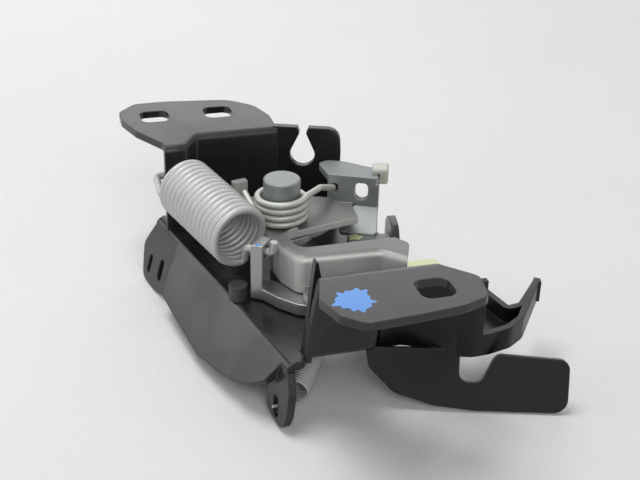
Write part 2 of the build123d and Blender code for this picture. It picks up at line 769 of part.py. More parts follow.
def release_lever():
    """The release lever: hub plate under the cover, upright with the cable eye, lip and tongue."""
    run = (UPRIGHT_END[0] - UPRIGHT_START[0], UPRIGHT_END[1] - UPRIGHT_START[1])
    length = math.hypot(*run)
    along = (run[0] / length, run[1] / length)
    hub = drum(MAIN_PIN, LEVER_HUB, LEVER_BOTTOM, LEVER_TOP)
    plate = slab(
        [
            (-4.5, MAIN_PIN[1] + LEVER_HUB - 0.5, 0),
            (6.0, 30.5, 5),
            (UPRIGHT_START[0], UPRIGHT_START[1] + 1, 0),
            (UPRIGHT_START[0] + 9 * along[0], UPRIGHT_START[1] + 9 * along[1] + 1, 0),
            (19.0, 20.5, 4),
            (8.0, 11.5, 6),
            (-4.5, MAIN_PIN[1] - LEVER_HUB + 0.5, 0),
        ],
        LEVER_BOTTOM,
        LEVER_TOP,
    )
    plane = Plane(origin=(*UPRIGHT_START, 0), x_dir=(*along, 0), z_dir=(-along[1], along[0], 0))
    face = [
        (0, -LEVER_BOTTOM, 0),
        (8.0, -LEVER_BOTTOM, 2),
        (9.2, -TONGUE_BEND, 0),
        (length, -TONGUE_BEND, 0),
        (length, -LIP_UNDER, 0),
        (0, -LIP_UNDER, 0),
    ]
    upright = extrude(face_of(face), LEVER_SHEET, dir=(0, 0, 1))
    eye = Pos(CABLE_EYE_ALONG, -CABLE_EYE_Z, -5) * extrude(
        SlotOverall(CABLE_EYE_LONG, CABLE_EYE_WIDE, rotation=90), 15, dir=(0, 0, 1)
    )
    leg_hole = Pos(2.2, -LEG_HOLE_Z, 0) * Cylinder(LEG_HOLE_RADIUS, 20)
    upright = plane * (upright - eye - leg_hole)
    lip = slab(
        [
            (*UPRIGHT_START, 0),
            (14.0, 38.6, 1.5),
            (17.6, 40.2, 1.5),
            (23.0, 37.8, 3),
            (28.4, 32.6, 3),
            (31.0, 31.0, 1),
            (*UPRIGHT_END, 1),
        ],
        LIP_UNDER,
        LIP_UNDER + LEVER_SHEET,
    )
    tongue_start = (
        UPRIGHT_START[0] + 9.2 * along[0],
        UPRIGHT_START[1] + 9.2 * along[1],
        TONGUE_BEND,
    )
    tongue = Hanging(tongue_start, along, TONGUE_LEAN)
    slope = tongue.plate(
        [(0, -0.8, 0), (length - 9.2, -0.8, 0), (length - 8.2, 9.6, 1.5), (-4.8, 9.6, 1.5)], LEVER_SHEET
    )
    nose = slab(
        [(16.8, 12.4, 1), (30.6, 10.2, 1), (31.4, 14.8, 1), (18.0, 17.8, 1)],
        CLAW_BOTTOM,
        NOSE_TOP,
    )
    body = hub + plate + upright + lip + slope + nose
    return body - drum(MAIN_PIN, MAIN_PIN_RADIUS + RUNNING_PLAY, LEVER_BOTTOM - 1, LEVER_TOP + 1)


def lever_cap():
    """The moulded end cap on the corner of the release lever."""
    body = Pos(*CAP_CENTRE, LIP_UNDER + LEVER_SHEET / 2) * Rot(0, 0, CAP_TURN) * Box(*CAP_SIZE)
    body = fillet(body.edges(), 1.0)
    mouth = [(20, 20, 0), (31.1, 20, 0), (31.1, 40, 0), (20, 40, 0)]
    return body - slab(mouth, LIP_UNDER, LIP_UNDER + LEVER_SHEET)


def safety_catch():
    """The safety catch: a flat arm under the floor, tall wall, channelled hook and finger paddle."""
    outer_path = [
        (12.6, -32.4),
        (19.6, -31.8),
        (32.0, -41.4),
        (37.0, -43.2),
        (42.4, -42.9),
        (49.6, -41.2),
        (55.4, -37.2),
        (70.2, -17.0),
    ]
    inner_path = [(51.3, -17.9), (53.8, -29.4), (57.4, -28.8), (68.4, -16.4)]
    outer_middle = shifted_path(outer_path, CATCH_SHEET / 2)
    inner_middle = shifted_path(inner_path, -CATCH_SHEET / 2)
    plate = slab(
        [
            (-8.8, -15.4, 3),
            (-4.6, -9.8, 3),
            (4.0, -12.8, 5),
            (15.0, -12.6, 5),
            (25.0, -19.5, 8),
            (42.0, -24.5, 6),
            (inner_middle[0][0], inner_middle[0][1] - 0.6, 0),
            *[(x, y, 0) for x, y in inner_middle[1:]],
            *[(x, y, 0) for x, y in outer_middle[:0:-1]],
            (outer_middle[0][0] + 1, outer_middle[0][1], 0),
            (8.0, -31.2, 0),
            (0.0, -29.6, 5),
        ],
        CATCH_BOTTOM,
        CATCH_TOP,
    )
    outer_face = face_of(bent_section(outer_path, CATCH_SHEET, 1, 5.0))
    outer = extrude(outer_face, CATCH_WALL_TOP - CATCH_BOTTOM, dir=(0, 0, 1))
    rim_top = CATCH_BOTTOM + RIM_HEIGHT
    above_rim = Pos(CATCH_WALL_END + 50, 0, rim_top + 50) * Box(100, 400, 100)
    outer = Pos(0, 0, CATCH_BOTTOM) * outer - above_rim
    inner_face = face_of(bent_section(inner_path, CATCH_SHEET, -1, 0.4))
    inner = Pos(0, 0, CATCH_BOTTOM) * extrude(inner_face, RIM_HEIGHT, dir=(0, 0, 1))
    tip = wall((70.0, -17.2), (68.2, -16.8), CATCH_SHEET, CATCH_BOTTOM, rim_top)
    paddle = Hanging((8.4, -31.9, CATCH_BOTTOM), (26.0, -8.0), PADDLE_LEAN)
    blade = paddle.plate(
        [
            (0, -1.3, 0),
            (1.0, 4.6, 3),
            (8.6, 12.0, 5),
            (20.0, 15.4, 8),
            (32.0, 16.6, 10),
            (59.0, 16.6, 4),
            (59.0, 1.0, 3),
            (37.6, -0.2, 3),
            (33.8, 8.2, 2.8),
            (27.2, 8.2, 2.8),
            (27.2, -1.3, 0),
        ],
        CATCH_SHEET,
    )
    body = plate + blade + outer + inner + tip
    body -= drum(CLAW_PIN, CLAW_SHANK_RADIUS + RUNNING_PLAY, CATCH_BOTTOM - 1, CATCH_TOP + 1)
    return body - drum(CATCH_EYE, CATCH_EYE_RADIUS, CATCH_BOTTOM - 1, CATCH_TOP + 1)


def claw_spring():
    """The close-coiled extension spring that pulls the claw open, with its two hooks."""
    tab = from_claw_pin(ARM_REACH, ARM_ANGLE)
    start = Vector(*SPRING_BODY_START)
    end = Vector(tab[0] + SPRING_END_FROM_TAB[0], tab[1] + SPRING_END_FROM_TAB[1], SPRING_END_Z)
    run = end - start
    plane = Plane(origin=start, x_dir=(-run.Y, run.X, 0), z_dir=run)
    pitch = run.length / CLAW_SPRING_COILS
    body, far_end, near_end = coil(
        plane, CLAW_SPRING_RADIUS, CLAW_SPRING_WIRE, pitch, CLAW_SPRING_COILS, -90
    )
    right = plane.x_dir
    edge = -35.6 - CLAW_SPRING_WIRE
    behind = FAR_TAB_WALL_Y + BASE_SHEET + CLAW_SPRING_WIRE
    far_hook = bent_wire(
        [
            far_end[0],
            far_end[0] - right * 4,
            (edge, 42.0, -14.0),
            (edge, behind, HOOK_Z),
            (edge + 4.6, behind + 0.2, HOOK_Z),
        ],
        1.6,
        CLAW_SPRING_WIRE,
    )
    out = (math.cos(math.radians(ARM_ANGLE)), math.sin(math.radians(ARM_ANGLE)))
    before = from_claw_pin(ARM_REACH + 2.8, ARM_ANGLE)
    after = from_claw_pin(ARM_REACH - CLAW_PLATE - 2.0, ARM_ANGLE)
    near_hook = bent_wire(
        [
            near_end[0],
            near_end[0] + right * 1.6,
            (before[0], before[1], SPRING_Z),
            (after[0], after[1], SPRING_Z),
            (after[0] - out[0] * 0.6, after[1] - out[1] * 0.6, SPRING_Z + 3.6),
        ],
        1.2,
        CLAW_SPRING_WIRE,
    )
    return {"claw_spring": body, "claw_spring_far_hook": far_hook, "claw_spring_near_hook": near_hook}


def lever_spring():
    """The torsion spring round the main pin, with a leg to the lever and one to the cover's lug."""
    lift = DECK_TOP + LEVER_SPRING_WIRE / 2 + 0.2
    plane = Plane(origin=(*MAIN_PIN, lift), z_dir=(0, 0, 1))
    body, low_end, high_end = coil(
        plane,
        LEVER_SPRING_RADIUS,
        LEVER_SPRING_WIRE,
        LEVER_SPRING_PITCH,
        LEVER_SPRING_TURNS,
        LEVER_SPRING_START,
    )
    lug_end = (-13.4, 28.2, -9.8)
    low_leg = bent_wire([*low_end, lug_end], 3, LEVER_SPRING_WIRE)
    eye = Vector(16.2, 28.8, LEG_HOLE_Z)
    arch = high_end[1] + (eye - high_end[1]) * 0.5 + Vector(0, 0, 1.4)
    high_leg = bent_wire([*high_end, arch, eye], 3, LEVER_SPRING_WIRE)
    return {"lever_spring": body, "lever_spring_lug_leg": low_leg, "lever_spring_lever_leg": high_leg}


def catch_spring():
    """The fine extension spring under the floor that turns the safety catch."""
    near_tab = Hanging(SKIRT_START, SKIRT_ALONG, NEAR_TAB_LEAN)
    along, down = CATCH_ANCHOR
    slot = near_tab.plane.from_local_coords(Vector(along, -down, BASE_SHEET + 1.0))
    inside = near_tab.plane.from_local_coords(Vector(along, -down, -1.6))
    below_eye = Vector(*CATCH_EYE, CATCH_BOTTOM - CATCH_SPRING_RADIUS - 1.4)
    start = inside + (below_eye - inside) * 0.2
    end = inside + (below_eye - inside) * 0.86
    run = end - start
    plane = Plane(origin=start, x_dir=(-run.Y, run.X, 0), z_dir=run)
    pitch = run.length / CATCH_SPRING_COILS
    body, low_end, high_end = coil(
        plane, CATCH_SPRING_RADIUS, CATCH_SPRING_WIRE, pitch, CATCH_SPRING_COILS, -90
    )
    right = plane.x_dir
    low_hook = bent_wire([low_end[0], low_end[0] - right * 1.6, inside, slot], 0.8, CATCH_SPRING_WIRE)
    high_hook = bent_wire(
        [
            high_end[0],
            high_end[0] - right * 2,
            (*CATCH_EYE, high_end[0].Z + 0.6),
            (*CATCH_EYE, CATCH_TOP + 0.2),
        ],
        0.8,
        CATCH_SPRING_WIRE,
    )
    return {"catch_spring": body, "catch_spring_tab_hook": low_hook, "catch_spring_catch_hook": high_hook}


os.makedirs("parts", exist_ok=True)

pieces = {
    "base_plate": base_plate(),
    "guide_cover": guide_cover(),
    "main_pin": main_pin(),
    "claw_pin": claw_pin(),
    "claw_washer": ring(
        CLAW_PIN,
        CLAW_PIN_RADIUS + RUNNING_PLAY + CLAW_WASHER_RIM,
        CLAW_PIN_RADIUS + RUNNING_PLAY,
        FLOOR_TOP,
        CLAW_BOTTOM,
    ),
    "lever_washer": ring(
        MAIN_PIN,
        MAIN_PIN_RADIUS + RUNNING_PLAY + LEVER_WASHER_RIM,
        MAIN_PIN_RADIUS + RUNNING_PLAY,
        LEVER_BOTTOM - LEVER_WASHER - RUNNING_PLAY,
        LEVER_BOTTOM - RUNNING_PLAY,
    ),
    "catch_washer": ring(
        CLAW_PIN,
        CLAW_SHANK_RADIUS + RUNNING_PLAY + CATCH_WASHER_RIM,
        CLAW_SHANK_RADIUS + RUNNING_PLAY,
        CATCH_TOP,
        FLOOR_BOTTOM,
    ),
    "stop_buffer": stop_buffer(),
    "claw": claw(),
    "jaw_pad": jaw_pad(),
    "release_lever": release_lever(),
    "lever_cap": lever_cap(),
    "safety_catch": safety_catch(),
    **claw_spring(),
    **lever_spring(),
    **catch_spring(),
}
for number, (centre, seat, deck_top) in enumerate(
    [
        (COVER_RIVETS[0], DECK_UNDER, DECK_TOP),
        (COVER_RIVETS[1], FOOT_UNDER, FOOT_UNDER + COVER_SHEET),
    ],
    start=1,
):
    pieces[f"cover_rivet_{number}"] = cover_rivet(centre, seat, deck_top)

for name, shape in pieces.items():
    export_step(shape, f"parts/{name}.step")
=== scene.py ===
# %% [markdown]
# A bonnet latch, dressed for its photograph
# The solids of this latch come from a CAD source and stay where they are. This lesson gives them
# their finishes, rebuilds the springs as smooth wire, and adds what only a picture needs: paint
# marks, grease, a cloth floor, and soft studio light.

# %% Load the fixed frame
import math

import bmesh
import bpy
from mathutils import Matrix, Vector


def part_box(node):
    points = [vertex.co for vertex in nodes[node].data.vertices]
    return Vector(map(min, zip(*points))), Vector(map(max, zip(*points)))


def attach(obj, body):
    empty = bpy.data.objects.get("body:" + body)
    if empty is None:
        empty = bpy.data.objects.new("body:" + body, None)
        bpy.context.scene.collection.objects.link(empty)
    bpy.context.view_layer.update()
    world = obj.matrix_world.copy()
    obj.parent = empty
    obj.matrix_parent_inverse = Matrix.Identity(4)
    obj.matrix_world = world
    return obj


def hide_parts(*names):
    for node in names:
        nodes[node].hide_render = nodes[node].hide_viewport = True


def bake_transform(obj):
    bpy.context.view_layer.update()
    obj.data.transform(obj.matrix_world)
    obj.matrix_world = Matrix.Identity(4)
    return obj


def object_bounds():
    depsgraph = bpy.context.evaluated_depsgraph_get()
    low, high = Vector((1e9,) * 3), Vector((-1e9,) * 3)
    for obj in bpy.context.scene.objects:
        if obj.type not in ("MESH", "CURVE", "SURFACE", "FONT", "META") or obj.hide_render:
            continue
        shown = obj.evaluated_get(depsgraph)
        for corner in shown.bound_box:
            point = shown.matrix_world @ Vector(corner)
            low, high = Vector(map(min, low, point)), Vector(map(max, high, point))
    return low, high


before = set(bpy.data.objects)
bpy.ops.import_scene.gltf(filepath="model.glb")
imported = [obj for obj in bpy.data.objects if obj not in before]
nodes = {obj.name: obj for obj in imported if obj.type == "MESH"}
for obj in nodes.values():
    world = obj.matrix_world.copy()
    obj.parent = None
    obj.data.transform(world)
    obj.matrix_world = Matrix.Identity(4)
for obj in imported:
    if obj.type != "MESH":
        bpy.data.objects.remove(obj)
cad_low, cad_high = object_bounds()
MM = 0.001
print("CAD box", [round(v, 4) for v in cad_low], [round(v, 4) for v in cad_high])

# %% [markdown]
# The camera
# The photograph was taken from the front left, 28 degrees above the table, with a slight roll. A
# camera is three directions and a place, so both are written as a matrix, and the lens follows
# from the focal length in pixels.

# %% Place the camera
FOCAL_PIXELS = 1175.0
FRAME_PIXELS = 640.0
SENSOR = 36.0
CAMERA_PLACE = Vector((-0.08832, -0.30041, 0.15255))
camera_right = Vector((0.95996, -0.27892, 0.02619))
camera_up = Vector((0.10883, 0.45743, 0.88256))
camera_back = camera_right.cross(camera_up)

camera_data = bpy.data.cameras.new("camera")
camera_data.sensor_width = SENSOR
camera_data.lens = FOCAL_PIXELS / FRAME_PIXELS * SENSOR
camera_data.clip_start = 0.01
camera_data.clip_end = 20.0
camera = bpy.data.objects.new("camera", camera_data)
turn = Matrix((camera_right, camera_up, camera_back)).transposed()
camera.matrix_world = Matrix.Translation(CAMERA_PLACE) @ turn.to_4x4()
bpy.context.scene.collection.objects.link(camera)
bpy.context.scene.camera = camera
bpy.context.scene.view_settings.view_transform = "Standard"
print("lens", round(camera_data.lens, 1), "mm")

# %% [markdown]
# A small kit for node trees
# Every finish is built from the same few steps: make a node, set its inputs, link it. Short
# helpers keep the material cells readable. A Mix node has its sockets for numbers first and those
# for colours last, all under the same names, so they are called by their place in the list.

# %% Helpers for node trees
COLOUR_A, COLOUR_B, COLOUR_RESULT = 6, 7, 2
NUMBER_A, NUMBER_B, NUMBER_RESULT = 2, 3, 0


def node_in(tree, kind, **inputs):
    """A node of one kind, with its inputs set by name."""
    made = tree.nodes.new(kind)
    for name, value in inputs.items():
        made.inputs[name.replace("_", " ")].default_value = value
    return made


def maths_in(tree, operation, second=None):
    """A Math node; second is its fixed second number, if it has one."""
    made = tree.nodes.new("ShaderNodeMath")
    made.operation = operation
    if second is not None:
        made.inputs[1].default_value = second
    return made


def colour_mix_in(tree, first, second, blend="MIX"):
    """A Mix node for two colours; None leaves a colour to be linked."""
    made = tree.nodes.new("ShaderNodeMix")
    made.data_type = "RGBA"
    made.blend_type = blend
    for place, colour in ((COLOUR_A, first), (COLOUR_B, second)):
        if colour is not None:
            made.inputs[place].default_value = colour
    return made


def link_all(tree, *pairs):
    """Links in a tree, each from an output to an input."""
    for source, target in pairs:
        tree.links.new(source, target)


def grey(level):
    """A neutral colour."""
    return (level, level, level, 1.0)


# %% [markdown]
# Groups and materials
# An effect that many finishes share is worth a group: it is built once, and each material places
# it with values of its own. Inside the material stays only the surface itself.

# %% Helpers for groups and materials
def new_group(name, inputs, outputs):
    """A shader node group with named sockets, and its two end nodes."""
    group = bpy.data.node_groups.new(name, "ShaderNodeTree")
    for label, kind, value in inputs:
        socket = group.interface.new_socket(label, in_out="INPUT", socket_type="NodeSocket" + kind)
        socket.default_value = value
    for label, kind in outputs:
        group.interface.new_socket(label, in_out="OUTPUT", socket_type="NodeSocket" + kind)
    return group, group.nodes.new("NodeGroupInput"), group.nodes.new("NodeGroupOutput")


def group_in(tree, group, **inputs):
    """A group placed in a tree, with its inputs set by name."""
    placed = tree.nodes.new("ShaderNodeGroup")
    placed.node_tree = group
    for name, value in inputs.items():
        placed.inputs[name.replace("_", " ")].default_value = value
    return placed


def new_material(name):
    """An empty material, its node tree and its Principled surface."""
    material = bpy.data.materials.new(name)
    material.use_nodes = True
    return material, material.node_tree, material.node_tree.nodes["Principled BSDF"]


# %% [markdown]
# Rounded edges
# Pressed and painted steel never has a knife edge. A Bevel node bends the shading normal within a
# fraction of a millimetre of each edge, so that edges catch the light, and the angle between the
# bent and the true normal tells where an edge is. That gives one group with a normal and a mask.

# %% Group: rounded edges
FLAT_COSINE = 0.995
EDGE_COSINE = 0.80
edge_group, edge_in, edge_out = new_group(
    "Rounded edges", [("Radius", "Float", 0.0004)], [("Normal", "Vector"), ("Mask", "Float")]
)
bevel = edge_group.nodes.new("ShaderNodeBevel")
bevel.samples = 6
true_normal = edge_group.nodes.new("ShaderNodeNewGeometry")
facing = edge_group.nodes.new("ShaderNodeVectorMath")
facing.operation = "DOT_PRODUCT"
mask = node_in(edge_group, "ShaderNodeMapRange", From_Min=FLAT_COSINE, From_Max=EDGE_COSINE)
link_all(
    edge_group,
    (edge_in.outputs["Radius"], bevel.inputs["Radius"]),
    (bevel.outputs["Normal"], facing.inputs[0]),
    (true_normal.outputs["Normal"], facing.inputs[1]),
    (facing.outputs["Value"], mask.inputs["Value"]),
    (bevel.outputs["Normal"], edge_out.inputs["Normal"]),
    (mask.outputs["Result"], edge_out.inputs["Mask"]),
)
print("made group", edge_group.name)

# %% [markdown]
# Uneven surface
# Electro-coat and zinc both vary a little from place to place: slow clouds from the bath, about a
# centimetre across, and a fine grain of a few tenths of a millimetre. One group mixes two noises
# at named sizes. The clouds alone drive the gloss, and the mix drives the colour and the bump.

# %% Group: clouds and grain
cloud_group, cloud_in, cloud_out = new_group(
    "Clouds and grain",
    [("Cloud size", "Float", 90.0), ("Grain size", "Float", 2600.0), ("Grain share", "Float", 0.3)],
    [("Clouds", "Float"), ("Both", "Float")],
)
place = cloud_group.nodes.new("ShaderNodeTexCoord")
clouds = node_in(cloud_group, "ShaderNodeTexNoise", Detail=3.0, Roughness=0.55, Distortion=0.4)
grain = node_in(cloud_group, "ShaderNodeTexNoise", Detail=2.0, Roughness=0.5)
both = cloud_group.nodes.new("ShaderNodeMix")
link_all(
    cloud_group,
    (place.outputs["Object"], clouds.inputs["Vector"]),
    (place.outputs["Object"], grain.inputs["Vector"]),
    (cloud_in.outputs["Cloud size"], clouds.inputs["Scale"]),
    (cloud_in.outputs["Grain size"], grain.inputs["Scale"]),
    (cloud_in.outputs["Grain share"], both.inputs["Factor"]),
    (clouds.outputs["Fac"], both.inputs[NUMBER_A]),
    (grain.outputs["Fac"], both.inputs[NUMBER_B]),
    (clouds.outputs["Fac"], cloud_out.inputs["Clouds"]),
    (both.outputs[NUMBER_RESULT], cloud_out.inputs["Both"]),
)
print("made group", cloud_group.name)

# %% [markdown]
# Level faces
# In the photograph the plated parts are darker on their level faces than on their upright ones,
# which is shade from how the light falls. A painted shade that multiplies the colour of level faces
# stands in for it. Its strength is a chosen tone.
# The height of the surface normal tells the faces apart, and it doesn't depend on the camera.

# %% Group: level faces
level_group, level_in, level_out = new_group(
    "Level faces", [("From", "Float", 0.55), ("To", "Float", 0.95)], [("Mask", "Float")]
)
way_out = level_group.nodes.new("ShaderNodeNewGeometry")
parts_of = level_group.nodes.new("ShaderNodeSeparateXYZ")
level = level_group.nodes.new("ShaderNodeMapRange")
level.interpolation_type = "SMOOTHSTEP"
link_all(
    level_group,
    (way_out.outputs["Normal"], parts_of.inputs[0]),
    (parts_of.outputs["Z"], level.inputs["Value"]),
    (level_in.outputs["From"], level.inputs["From Min"]),
    (level_in.outputs["To"], level.inputs["From Max"]),
    (level.outputs["Result"], level_out.inputs["Mask"]),
)
print("made group", level_group.name)

# %% [markdown]
# A finish from the groups
# All the finishes of the latch share one build: two close colours that drift into each other, a
# painted shade where the face lies level, a paler tone on the worn edges, and a grain in the bump.
# So one
# function makes them all, and each call names the values that make its finish different.

# %% One function for every finish
CLOUD_LOW, CLOUD_HIGH = 0.35, 0.65
GRAIN_HEIGHT = 0.0002


def finish(
    name, dark, light, worn, metallic, rough, edge=0.0004, wear=0.3, cloud=90.0, bump=0.05,
    specular=0.5, level_shade=1.0,
):
    """A finish; rough is its least and most roughness, and edge is a radius in metres."""
    material, tree, surface = new_material(name)
    edges = group_in(tree, edge_group, Radius=edge)
    uneven = group_in(tree, cloud_group, Cloud_size=cloud)
    levels = group_in(tree, level_group)
    drift = colour_mix_in(tree, dark, light)
    # Painted shade: the colour of level faces is multiplied by a grey, so that they look less lit.
    level_shaded = colour_mix_in(tree, None, grey(level_shade), "MULTIPLY")
    edged = colour_mix_in(tree, None, worn)
    amount = maths_in(tree, "MULTIPLY", wear)
    gloss = node_in(
        tree, "ShaderNodeMapRange",
        From_Min=CLOUD_LOW, From_Max=CLOUD_HIGH, To_Min=rough[0], To_Max=rough[1],
    )
    relief = node_in(tree, "ShaderNodeBump", Strength=bump, Distance=GRAIN_HEIGHT)
    link_all(
        tree,
        (uneven.outputs["Both"], drift.inputs["Factor"]),
        (levels.outputs["Mask"], level_shaded.inputs["Factor"]),
        (drift.outputs[COLOUR_RESULT], level_shaded.inputs[COLOUR_A]),
        (edges.outputs["Mask"], amount.inputs[0]),
        (amount.outputs[0], edged.inputs["Factor"]),
        (level_shaded.outputs[COLOUR_RESULT], edged.inputs[COLOUR_A]),
        (edged.outputs[COLOUR_RESULT], surface.inputs["Base Color"]),
        (uneven.outputs["Clouds"], gloss.inputs["Value"]),
        (gloss.outputs["Result"], surface.inputs["Roughness"]),
        (uneven.outputs["Both"], relief.inputs["Height"]),
        (edges.outputs["Normal"], relief.inputs["Normal"]),
        (relief.outputs["Normal"], surface.inputs["Normal"]),
    )
    surface.inputs["Metallic"].default_value = metallic
    surface.inputs["Specular IOR Level"].default_value = specular
    return material


# %% [markdown]
# Black coats
# The base plate and the safety catch wear a satin electro-coat. It is paint, so it isn't metallic.
# The catch's colour is darker than the plate's as painted shade, for its place under the flange's
# overhang, and it takes less shine than the plate.

# %% Make the black coats
black_coat = finish(
    "black electro-coat", (0.013, 0.012, 0.013, 1), (0.022, 0.021, 0.022, 1), grey(0.06),
    metallic=0.0, rough=(0.20, 0.32), edge=0.0006, wear=0.5, cloud=60.0, bump=0.03,
)
# Painted shade: the catch's colours are darker than the plate's, standing in for the shade under the
# flange.
shaded_catch_coat = finish(
    "black catch coat with painted shade", (0.006, 0.005, 0.005, 1), (0.010, 0.009, 0.009, 1), grey(0.05),
    metallic=0.0, rough=(0.24, 0.36), edge=0.0005, wear=0.5, cloud=60.0, bump=0.03, specular=0.3,
)
print("made", black_coat.name, "and", shaded_catch_coat.name)

# %% [markdown]
# Zinc and bare steel
# Cover, lever and claw are zinc plated, each bath with its own tint, and the pins are turned
# steel. Matt plating looks half like paint, so the metallic value stays between nothing and full.

# %% Make the plated and the turned finishes
# The cover and the lever get painted shade on their level faces, the cover much more than the lever.
cover_zinc = finish(
    "cover zinc", (0.50, 0.50, 0.485, 1), (0.60, 0.60, 0.58, 1), grey(0.75),
    metallic=0.4, rough=(0.38, 0.50), edge=0.0006, wear=0.5, level_shade=0.34,
)
lever_zinc = finish(
    "lever zinc", (0.27, 0.292, 0.29, 1), (0.36, 0.382, 0.378, 1), grey(0.62),
    metallic=0.6, rough=(0.38, 0.50), edge=0.0005, wear=0.4, level_shade=0.7,
)
claw_steel = finish(
    "claw steel", (0.30, 0.30, 0.295, 1), (0.40, 0.40, 0.39, 1), grey(0.7),
    metallic=0.85, rough=(0.3, 0.42), edge=0.0005, wear=0.5,
)
pin_steel = finish(
    "turned pin steel", (0.24, 0.262, 0.255, 1), (0.31, 0.33, 0.32, 1), grey(0.5),
    metallic=0.6, rough=(0.45, 0.55), edge=0.0003, wear=0.3,
)
print("made", [made.name for made in (cover_zinc, lever_zinc, claw_steel, pin_steel)])

# %% [markdown]
# Wire, rubber and plastic
# The springs are galvanised wire, and the torsion spring's is a little greener. Wire is round, so
# it shows no worn edges. The buffer is rubber, and the lever's cap and the claw's pad are taken
# for moulded plastic, with a soft shine.

# %% Make the wire, rubber and plastic finishes
spring_zinc = finish(
    "galvanised wire", (0.47, 0.47, 0.46, 1), (0.58, 0.58, 0.57, 1), grey(0.8),
    metallic=0.4, rough=(0.38, 0.5), edge=0.0001, wear=0.0,
)
torsion_zinc = finish(
    "torsion wire", (0.48, 0.50, 0.455, 1), (0.60, 0.62, 0.57, 1), grey(0.8),
    metallic=0.4, rough=(0.38, 0.5), edge=0.0001, wear=0.0,
)
black_rubber = finish(
    "black rubber", grey(0.030), grey(0.055), grey(0.12),
    metallic=0.0, rough=(0.45, 0.6), wear=0.4, cloud=300.0, bump=0.2,
)
cap_plastic = finish(
    "pale cap plastic", (0.50, 0.51, 0.45, 1), (0.62, 0.63, 0.56, 1), grey(0.8),
    metallic=0.0, rough=(0.38, 0.5), edge=0.0005,
)
pad_plastic = finish(
    "moulded pad", (0.60, 0.66, 0.36, 1), (0.70, 0.75, 0.48, 1), (0.8, 0.82, 0.62, 1),
    metallic=0.0, rough=(0.4, 0.5),
)
print("materials so far", len(bpy.data.materials))

# %% [markdown]
# Dress the CAD parts
# The solids have the right shapes already, so each one keeps its mesh and gets its finish. The
# springs join this list further down, with their wire.

# %% Choose a finish for each CAD node
finishes = {
    "base_plate": black_coat,
    "guide_cover": cover_zinc,
    "main_pin": pin_steel,
    "claw_pin": pin_steel,
    "claw_washer": claw_steel,
    "lever_washer": claw_steel,
    "catch_washer": claw_steel,
    "stop_buffer": black_rubber,
    "cover_rivet_1": pin_steel,
    "cover_rivet_2": pin_steel,
    "claw": claw_steel,
    "jaw_pad": pad_plastic,
    "release_lever": lever_zinc,
    "lever_cap": cap_plastic,
    "safety_catch": shaded_catch_coat,
}
print("chose finishes for", len(finishes), "CAD nodes")

# %% [markdown]
# The floor
# The latch stands on pale cloth. One sheet is enough: it lies flat under the latch, and turns up
# far behind in a smooth curve, so that no horizon shows. Its section is a short list of points.

# %% Lay the cloth
FLOOR_Z = cad_low.z
CLOTH_HALF_WIDTH = 2.5
CLOTH_SECTION = [(-2.0, 0.0), (0.75, 0.0), (1.05, 0.05), (1.25, 0.25), (1.3, 0.6), (1.3, 2.0)]
cloth_points = [
    (side * CLOTH_HALF_WIDTH, y, FLOOR_Z + z) for y, z in CLOTH_SECTION for side in (-1, 1)
]
cloth_faces = [(2 * i, 2 * i + 1, 2 * i + 3, 2 * i + 2) for i in range(len(CLOTH_SECTION) - 1)]
cloth_mesh = bpy.data.meshes.new("cloth")
cloth_mesh.from_pydata(cloth_points, [], cloth_faces)
for face in cloth_mesh.polygons:
    face.use_smooth = True
cloth = bpy.data.objects.new("cloth", cloth_mesh)
bpy.context.scene.collection.objects.link(cloth)
print("floor at", round(FLOOR_Z, 4))

# %% [markdown]
# Pale cloth
# The cloth is woven, and lies in low, wide folds. Two wave patterns across each other give the
# threads, and a slow noise gives the folds and a faint change of tone. Both go into the bump.

# %% Make the cloth's material
THREAD_SCALE = 420.0
cloth_white, tree, surface = new_material("pale cloth")
where = tree.nodes.new("ShaderNodeTexCoord")
threads = node_in(tree, "ShaderNodeTexWave", Scale=THREAD_SCALE)
cross_threads = node_in(tree, "ShaderNodeTexWave", Scale=THREAD_SCALE)
cross_threads.bands_direction = "Y"
weave = maths_in(tree, "ADD")
folds = node_in(tree, "ShaderNodeTexNoise", Scale=5.0, Detail=2.0)
tone = colour_mix_in(tree, grey(0.80), grey(0.87))
weave_bump = node_in(tree, "ShaderNodeBump", Strength=0.25, Distance=0.0003)
fold_bump = node_in(tree, "ShaderNodeBump", Strength=0.35, Distance=0.02)
link_all(
    tree,
    (where.outputs["Object"], threads.inputs["Vector"]),
    (where.outputs["Object"], cross_threads.inputs["Vector"]),
    (where.outputs["Object"], folds.inputs["Vector"]),
    (threads.outputs["Fac"], weave.inputs[0]),
    (cross_threads.outputs["Fac"], weave.inputs[1]),
    (weave.outputs[0], weave_bump.inputs["Height"]),
    (folds.outputs["Fac"], fold_bump.inputs["Height"]),
    (folds.outputs["Fac"], tone.inputs["Factor"]),
    (fold_bump.outputs["Normal"], weave_bump.inputs["Normal"]),
    (tone.outputs[COLOUR_RESULT], surface.inputs["Base Color"]),
    (weave_bump.outputs["Normal"], surface.inputs["Normal"]),
)
surface.inputs["Roughness"].default_value = 0.9
surface.inputs["Specular IOR Level"].default_value = 0.1
cloth_mesh.materials.append(cloth_white)
print("made", cloth_white.name)

# %% [markdown]
# Pale walls
# The room round the latch is pale, and lights it softly from all sides. The world gives that
# light. The camera and the reflections in glossy surfaces see a plain near-white world instead, so
# that the walls look pale, also in the metal, and matt surfaces get no more light from them.

